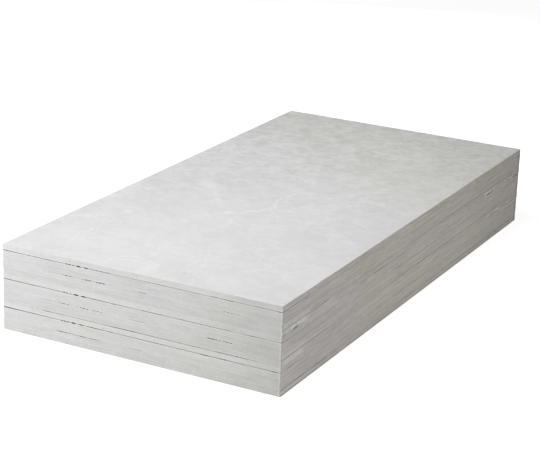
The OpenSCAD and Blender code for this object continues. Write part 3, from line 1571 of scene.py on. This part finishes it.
@dataclass(frozen=True)
class EdgeFinish:
    """A cut edge of a board: streaked along its layers, with painted shade in open joints, pale
    where rubbed or chipped, and with painted highlights.

    Attributes:
        name: Name of the material.
        pale: Colour of the lightest layers.
        deep: Colour of the deepest layers.
        rub_and_highlight: Colour of rubbed and freshly chipped cement, and of the painted
            highlights beside open joints and down the near corner.
        wear_and_highlight: How much of that colour shows at a chip, and as a painted highlight
            beside an open joint.
        warm: Colour that the whole edge is multiplied by.
        tints: Colours that multiply the edge, a yellowing for age and painted shade that darkens it
            towards one end, each with its drift.
        runs: How many streaks the thin layers, the thick ones and the chaff have in a metre.
        layers: Weight of the thin layers, the thick ones and the clouds together.
        flecks: Weight of the grain and the chaff together.
        thick: Weight of the thick layers.
        chaff: Weight of the chaff, the short flecks between the layers.
        bundle: Weight of the boards' own tones, which rise from the foot of a bundle to its head.
        painted_lift: How much the layers are painted paler from the head of the stack to its foot,
            painted light that makes up for the weaker bounce light low down.
        cloud: Weight of the clouds that cross the layers.
        levels: Mixture of the layers that gives the deepest colour, and the lightest.
        seam: Colour inside an open joint: painted shade that darkens the gap; the dark streaks of
            dirt and painted shade take it too.
        pore: Colour of the pores.
        roughness: Roughness of the edge.
    """

    name: str
    pale: Colour = grey(0.745)
    deep: Colour = grey(0.575)
    rub_and_highlight: Colour = (0.80, 0.755, 0.745, 1.0)
    wear_and_highlight: float = 0.5
    warm: Colour = WHITE
    tints: tuple[tuple[Colour, Drift], ...] = (
        (YELLOWED, Drift((1.0, 0.0, -1.2), -0.40, 0.35, 13.0, 1.6)),
        # Painted shade: the end darkens towards its corner with the right side.
        (grey(0.875), Drift((1.0, 0.0, 0.0), 0.12, 0.34, 13.0, 0.2)),
    )
    runs: tuple[float, float, float] = (12.0, 3.5, 130.0)
    layers: float = 0.66
    flecks: float = 0.34
    thick: float = 0.20
    chaff: float = 0.22
    bundle: float = 0.07
    painted_lift: float = 0.0
    cloud: float = 0.22
    levels: tuple[float, float] = (0.352, 0.698)
    # Painted shade: the colour that open joints and the dark streaks are darkened to.
    seam: Colour = (0.06, 0.06, 0.058, 1.0)
    pore: Colour = (0.42, 0.42, 0.41, 1.0)
    roughness: float = 0.90

    def make(self, effects: Effects) -> bpy.types.Material:
        """Builds the material.

        Args:
            effects: The shared node groups.

        Returns:
            The material.
        """
        w = Surface(self.name, specular=0.3)
        place, own = w.places()
        thin = w.use(effects.laminae, Vector=own, Run=self.runs[0], Pitch=620.0)
        thick = w.use(effects.laminae, Vector=own, Run=self.runs[1], Pitch=190.0)
        cloud = w.use(effects.cloud, Vector=own, Scale=16.0, Swirl=0.04)
        grain = w.use(effects.grain, Vector=own, Scale=640.0)
        tone = w.attribute("tone")
        chaff = w.use(effects.laminae, Vector=own, Run=self.runs[2], Pitch=230.0)
        # The _depth term, times painted_lift, paints the lower boards paler: painted light.
        layer = w.total((thin, self.layers - self.cloud - self.thick), (thick, self.thick),
                        (cloud, self.cloud), (grain, self.flecks - self.chaff),
                        (chaff, self.chaff), (tone, self.bundle),
                        (self._depth(w, place), self.painted_lift))
        colour = w.blend(w.spread(layer, *self.levels), self.deep, self.pale)
        pore = w.use(effects.pit, Vector=own, Scale=120.0, Share=0.10, Radius=0.16)
        colour = w.blend(w.math("MULTIPLY", pore, 0.6), colour, self.pore)
        colour = w.tint(1.0, colour, self.warm)
        for tint, drift in self.tints:
            colour = w.tint(drift.mask(w, effects, place), colour, tint)
        rub = w.use(effects.laminae, Vector=own, Run=70.0, Pitch=330.0)
        # Pale rubbed patches and fresh chips, together with the painted highlights beside open
        # joints and down the near corner.
        pale = w.math("MULTIPLY", w.attribute("pale"), w.spread(rub, 0.38, 0.56, 0.25, 1.0))
        worn = w.math("MULTIPLY", w.attribute("worn"), self.wear_and_highlight)
        colour = w.blend(w.math("MAXIMUM", pale, worn), colour, self.rub_and_highlight)
        # Painted shade: the seam mask darkens the open joints and carries the dark streaks of dirt
        # and painted shade.
        colour = w.blend(w.math("MULTIPLY", w.attribute("seam"), 0.95), colour, self.seam)
        relief = w.total((thin, 0.8), (grain, 1.0), (pore, -1.0))
        return w.finish(colour, grain, (self.roughness, 0.16), relief, (0.4, 0.5 * MM))

    @staticmethod
    def _depth(w: Wiring, place: Socket) -> Socket:
        """Gives 0.5 at the foot of the stack and -0.5 at its head.

        Args:
            w: The material's wiring.
            place: Place on the object.

        Returns:
            The value, which falls evenly with height.
        """
        low, high = (corner[2] for corner in CAD_BOX)
        height = w.node("ShaderNodeSeparateXYZ", {0: place}).outputs[2]
        return w.math("MULTIPLY_ADD", height, -1.0 / (high - low), 0.5)


END_FINISH = EdgeFinish("board_end")
SIDE_FINISH = EdgeFinish(
    "board_side",
    warm=(1.055, 1.0, 0.948, 1.0),
    tints=(
        ((0.995, 1.0, 0.955, 1.0), Drift((0.0, 1.0, 0.8), -0.26, -0.18, 9.0, 0.25)),
        # Painted shade: the side darkens towards its far end.
        ((0.93, 0.93, 0.925, 1.0), Drift((0.0, 1.0, 0.0), 0.25, 0.50, 9.0, 0.2)),
    ),
    rub_and_highlight=(0.92, 0.945, 0.90, 1.0),
    wear_and_highlight=0.32,
    # Painted light: the side's lower boards are painted paler.
    painted_lift=0.095,
    cloud=0.06,
    thick=0.32,
    bundle=0.035,
    levels=(0.345, 0.675),
    pale=grey(0.79),
    deep=grey(0.53),
    runs=(20.0, 5.5, 46.0),
    chaff=0.25,
)


@dataclass
class BoardStack:
    """The whole stack: one piece for each board of the frame.

    Attributes:
        nodes: Names of the CAD nodes, from the floor up.
    """

    nodes: list[str]

    def build(self) -> list[bpy.types.Object]:
        """Builds, dresses and seats every board.

        Returns:
            The pieces, from the floor up.
        """
        effects = Effects()
        finishes = [kind.make(effects) for kind in (FaceFinish(), END_FINISH, SIDE_FINISH)]
        pieces = []
        for number, node in enumerate(self.nodes, start=1):
            top = number == len(self.nodes)
            board = BoardPiece(node, number, SEAMS, relieved_face=top)
            piece = board.build()
            for finish in finishes:
                piece.data.materials.append(finish)
            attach(piece, BODY)
            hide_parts(node)
            LOG.info("%s: %d faces, stands for %s", piece.name, len(piece.data.polygons), node)
            pieces.append(piece)
        return pieces


@dataclass(frozen=True)
class Softbox:
    """A square lamp that looks at the middle of the stack.

    Attributes:
        name: Name of the lamp.
        azimuth: Its bearing in degrees, 0 in front of the near end and 90 on the right.
        elevation: Its height over the horizon, in degrees.
        distance: Its distance from the aim.
        size: Length of its side.
        power: Its power, in watts.
    """

    name: str
    azimuth: float
    elevation: float
    distance: float
    size: float
    power: float

    def build(self, aim: Vector) -> bpy.types.Object:
        """Hangs the lamp.

        Args:
            aim: Point that it looks at.

        Returns:
            The lamp's object.
        """
        data = bpy.data.lights.new(self.name, "AREA")
        data.shape, data.size, data.energy = "SQUARE", self.size, self.power
        lamp = bpy.data.objects.new(self.name, data)
        away = bearing(self.azimuth, self.elevation)
        lamp.location = aim + away * self.distance
        lamp.rotation_euler = away.to_track_quat("Z", "Y").to_euler()
        bpy.context.scene.collection.objects.link(lamp)
        return lamp


def bearing(azimuth: float, elevation: float) -> Vector:
    """Gives the unit vector from the stack towards a bearing and a height, in degrees."""
    a, e = math.radians(azimuth), math.radians(elevation)
    return Vector((math.sin(a) * math.cos(e), -math.cos(a) * math.cos(e), math.sin(e)))


@dataclass(frozen=True)
class Viewpoint:
    """The camera's place.

    Attributes:
        azimuth: Bearing of the camera in degrees, 0 in front of the near end.
        elevation: Height over the horizon, in degrees.
        roll: Turn of the picture about the line of sight, in degrees.
        lens: Focal length, in millimetres.
        distance: Distance from the aim.
        aim_offset: The aim, from the middle of the stack.
    """

    azimuth: float = 27.10
    elevation: float = 18.71
    roll: float = 2.17
    lens: float = 116.26
    distance: float = 3.8604
    aim_offset: tuple[float, float, float] = (-0.0321, -0.0170, -0.0014)

    def build(self, middle: Vector) -> bpy.types.Object:
        """Sets up the camera and makes it the scene's.

        Args:
            middle: Middle of the stack.

        Returns:
            The camera's object.
        """
        data = bpy.data.cameras.new("corner_view")
        data.lens = self.lens
        data.clip_start, data.clip_end = 0.05, 200.0
        camera = bpy.data.objects.new("corner_view", data)
        back = bearing(self.azimuth, self.elevation)
        right = Vector((0.0, 0.0, 1.0)).cross(back).normalized()
        up = back.cross(right)
        turn = math.radians(self.roll)
        leaning_right = math.cos(turn) * right + math.sin(turn) * up
        leaning_up = math.cos(turn) * up - math.sin(turn) * right
        axes = Matrix((leaning_right, leaning_up, back)).transposed().to_4x4()
        aim = middle + Vector(self.aim_offset)
        camera.matrix_world = Matrix.Translation(aim + back * self.distance) @ axes
        bpy.context.scene.collection.objects.link(camera)
        bpy.context.scene.camera = camera
        return camera


@dataclass(frozen=True)
class Studio:
    """A plain pale floor, soft lamps and an even sky.

    Attributes:
        lamps: The softboxes.
        sky_level: Strength of the sky's light.
        floor_colour: Colour of the floor.
        floor_glow: Light that the floor shows to the eye alone, so that it reads as white.
        floor_half: Half of the floor's side.
        floor_drop: How far the floor lies under the stack.
    """

    lamps: tuple[Softbox, ...] = (
        Softbox("key_softbox", -43.0, 24.0, 4.0, 2.0, 150.0),
        Softbox("overhead_softbox", -30.0, 73.0, 2.4, 1.5, 27.2),
        Softbox("side_softbox", 90.0, 15.0, 3.0, 1.0, 8.9),
        Softbox("fill_softbox", 75.0, 15.0, 2.2, 0.8, 6.4),
        Softbox("back_softbox", 205.0, 2.0, 3.0, 0.3, 14.0),
    )
    sky_level: float = 0.10
    floor_colour: Colour = grey(0.45)
    floor_glow: float = 0.85
    floor_half: float = 40.0
    floor_drop: float = 0.3 * MM

    def build(self, middle: Vector, foot: float) -> None:
        """Lays the floor and sets the lamps and the sky.

        Args:
            middle: Middle of the stack, which the lamps look at.
            foot: Height of the stack's underside.
        """
        self._floor(foot - self.floor_drop)
        for lamp in self.lamps:
            made = lamp.build(middle)
            LOG.info("%s: %.1f W", made.name, lamp.power)
        self._sky()

    @staticmethod
    def _seen(w: Wiring) -> Socket:
        """Gives 1 for what the eye, a gloss or clear glass sees, and 0 for light.

        Args:
            w: Wiring of the floor's material, or of the world.

        Returns:
            The 1 or the 0.
        """
        path = w.node("ShaderNodeLightPath")
        seen = w.math("MAXIMUM", path.outputs["Is Camera Ray"], path.outputs["Is Glossy Ray"])
        return w.math("MAXIMUM", seen, path.outputs["Is Transmission Ray"])

    def _floor(self, height: float) -> None:
        """Lays the floor at a height.

        Args:
            height: The floor's height.
        """
        half = self.floor_half
        plan = ((-half, -half), (half, -half), (half, half), (-half, half))
        corners = [(x, y, height) for x, y in plan]
        mesh = bpy.data.meshes.new("studio_floor")
        mesh.from_pydata(corners, [], [(0, 1, 2, 3)])
        floor = bpy.data.objects.new("studio_floor", mesh)
        bpy.context.scene.collection.objects.link(floor)
        w = Surface("floor_paper", specular=0.0)
        w.inputs["Base Color"].default_value = self.floor_colour
        w.inputs["Roughness"].default_value = 1.0
        w.inputs["Emission Color"].default_value = WHITE
        glow = w.math("MULTIPLY", self._seen(w), self.floor_glow)
        w.feed(w.inputs["Emission Strength"], glow)
        mesh.materials.append(w.material)

    def _sky(self) -> None:
        """Sets the world: dim and even as light, and white to the eye."""
        world = bpy.data.worlds.new("studio_sky")
        world.use_nodes = True
        bpy.context.scene.world = world
        w = Wiring(world.node_tree)
        background = world.node_tree.nodes["Background"]
        background.inputs["Color"].default_value = WHITE
        level = w.math("MULTIPLY_ADD", self._seen(w), 1.0 - self.sky_level, self.sky_level)
        w.feed(background.inputs["Strength"], level)


def main() -> None:
    """Builds the stack, the studio and the camera."""
    logging.basicConfig(level=logging.INFO, format="%(message)s")
    bpy.context.scene.view_settings.view_transform = "Standard"
    low, high = (Vector(corner) for corner in CAD_BOX)
    middle = (low + high) / 2.0
    pieces = BoardStack(sorted(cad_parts)).build()
    Studio().build(middle, low.z)
    Viewpoint().build(middle)
    LOG.info("%d boards dressed", len(pieces))


if __name__ == "__main__":
    main()
